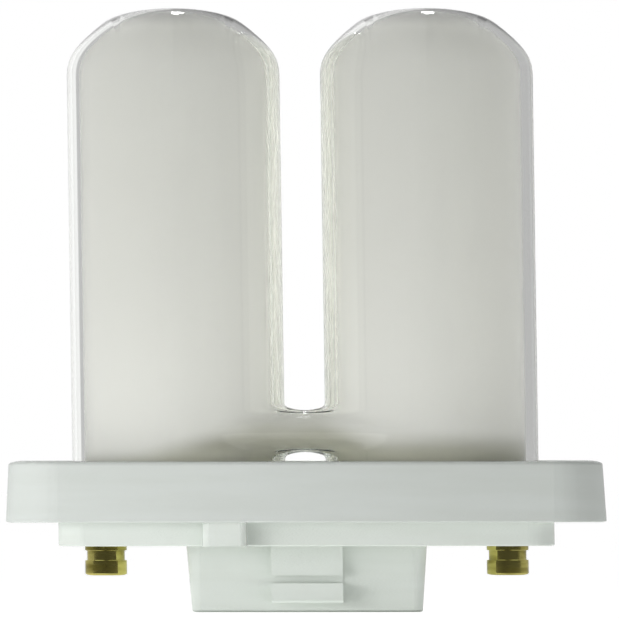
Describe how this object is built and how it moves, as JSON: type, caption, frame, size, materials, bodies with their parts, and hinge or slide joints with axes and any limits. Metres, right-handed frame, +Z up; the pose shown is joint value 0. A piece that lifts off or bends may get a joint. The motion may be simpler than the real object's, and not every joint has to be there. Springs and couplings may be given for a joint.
{
  "type": "compact fluorescent lamp",
  "caption": "Plug-in compact fluorescent lamp: two white U-shaped glass tubes joined by a bridge, on a square plastic base with a latching post and brass contact pins.",
  "frame": {"origin": "middle of the flat foot of the post, the lowest face of the lamp", "axes": "+Z up the lamp from the post to the bends of the tubes; -Y is the front, where the glass bridge joins the two tubes; +X to the right seen from the front"},
  "size_m": [0.0344, 0.0344, 0.146],
  "materials": {
    "coated_glass": "clear glass tube, white powder coating inside",
    "collar_plastic": "moulded, satin, cool white",
    "plug_plastic": "moulded, satin, warm white",
    "cement": "dull, cast, hidden",
    "pin_brass": "drawn brass, lightly tarnished",
    "lead_metal": "drawn nickel-iron wire"
  },
  "bodies": {
    "root": {"discharge_tube": "coated_glass", "base_collar": "collar_plastic", "basing_cement": "cement", "base_plug": "plug_plastic", "contact_pin_front_left": "pin_brass", "contact_pin_rear_left": "pin_brass", "contact_pin_front_right": "pin_brass", "contact_pin_rear_right": "pin_brass", "lead_wire_front_left": "lead_metal", "lead_wire_rear_left": "lead_metal", "lead_wire_front_right": "lead_metal", "lead_wire_rear_right": "lead_metal"}
  },
  "joints": []
}
